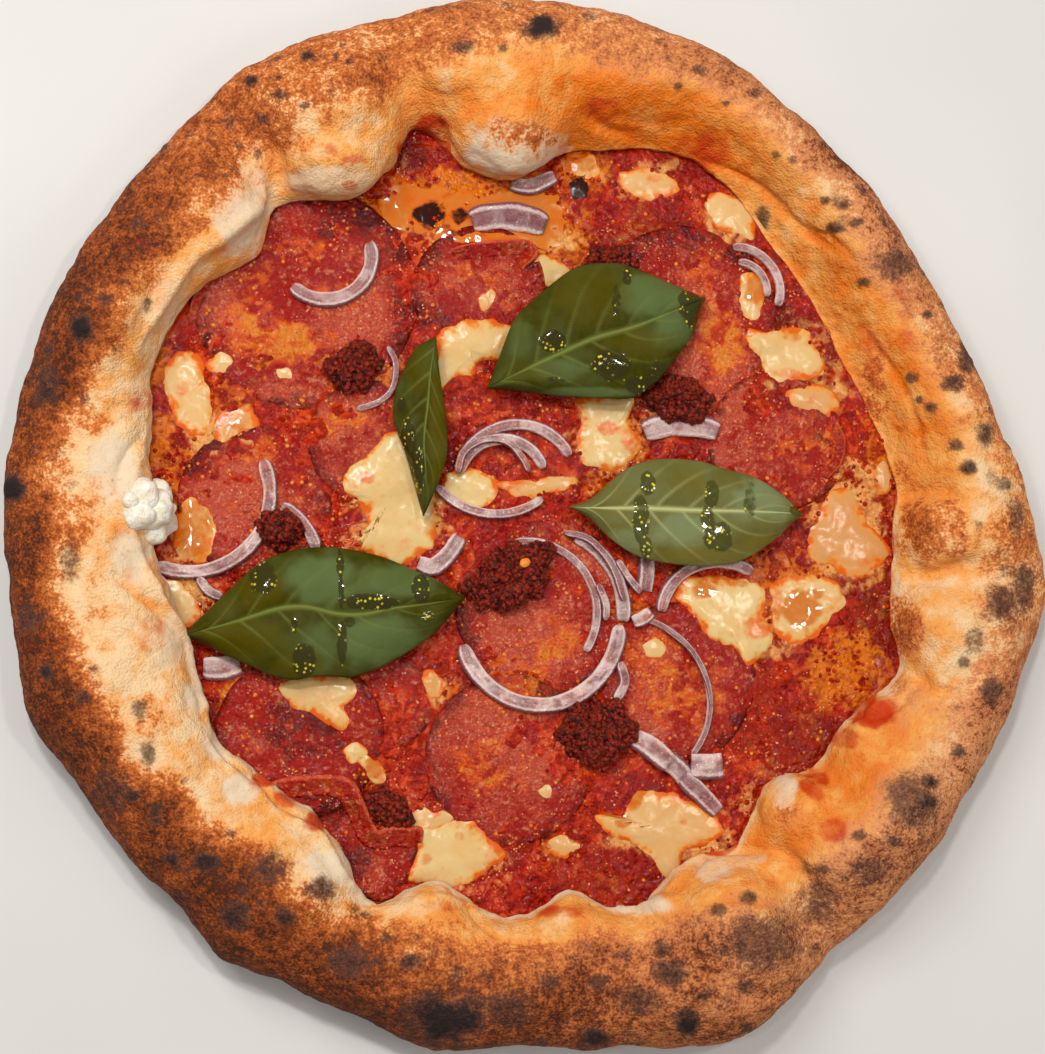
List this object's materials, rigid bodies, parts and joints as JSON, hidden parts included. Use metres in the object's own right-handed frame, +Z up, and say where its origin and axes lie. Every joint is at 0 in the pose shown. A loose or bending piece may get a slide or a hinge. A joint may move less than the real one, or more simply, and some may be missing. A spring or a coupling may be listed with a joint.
{
  "type": "spicy salami pizza",
  "caption": "Round baked pizza with a tall puffed charred rim, tomato sauce, melted mozzarella, salami slices, spicy sausage paste, red onion strips and basil leaves.",
  "frame": {"origin": "middle of the flat underside, at the centre of the outline's box", "axes": "+Z up out of the toppings; +Y towards the far side as pictured, +X to the right"},
  "size_m": [0.302, 0.3068, 0.0308],
  "materials": {
    "dough": "baked bread crust: dry and floury, golden to brown with charred blisters",
    "sauce": "wet cooked tomato sauce with orange oil",
    "salami": "cured sausage slice with fat flecks, oily from the oven",
    "mozzarella": "melted cheese, soft satin, oily and stained orange at its edges",
    "onion": "moist raw red onion, pale with purple skin lines",
    "paste": "dark crumbly spicy sausage paste",
    "ricotta": "fresh white curd, moist and lumpy",
    "basil": "fresh leaf, waxy, with patches of olive oil"
  },
  "bodies": {
    "root": {"crust": "dough", "tomato_sauce": "sauce", "salami_1": "salami", "salami_2": "salami", "salami_3": "salami", "salami_4": "salami", "salami_5": "salami", "salami_6": "salami", "salami_7": "salami", "salami_8": "salami", "salami_9": "salami", "salami_10": "salami", "salami_11": "salami", "salami_12": "salami", "mozzarella_1": "mozzarella", "mozzarella_2": "mozzarella", "mozzarella_3": "mozzarella", "mozzarella_4": "mozzarella", "mozzarella_5": "mozzarella", "mozzarella_6": "mozzarella", "mozzarella_7": "mozzarella", "mozzarella_8": "mozzarella", "mozzarella_9": "mozzarella", "mozzarella_10": "mozzarella", "mozzarella_11": "mozzarella", "mozzarella_12": "mozzarella", "mozzarella_13": "mozzarella", "mozzarella_14": "mozzarella", "mozzarella_15": "mozzarella", "mozzarella_16": "mozzarella", "mozzarella_17": "mozzarella", "mozzarella_18": "mozzarella", "onion_1": "onion", "onion_2": "onion", "onion_3": "onion", "onion_4": "onion", "onion_5": "onion", "onion_6": "onion", "onion_7": "onion", "onion_8": "onion", "onion_9": "onion", "onion_10": "onion", "onion_11": "onion", "onion_12": "onion", "onion_13": "onion", "onion_14": "onion", "onion_15": "onion", "onion_16": "onion", "sausage_paste_1": "paste", "sausage_paste_2": "paste", "sausage_paste_3": "paste", "sausage_paste_4": "paste", "sausage_paste_5": "paste", "sausage_paste_6": "paste", "sausage_paste_7": "paste", "ricotta_curd": "ricotta", "basil_1": "basil", "basil_2": "basil", "basil_3": "basil", "basil_4": "basil"}
  },
  "joints": []
}
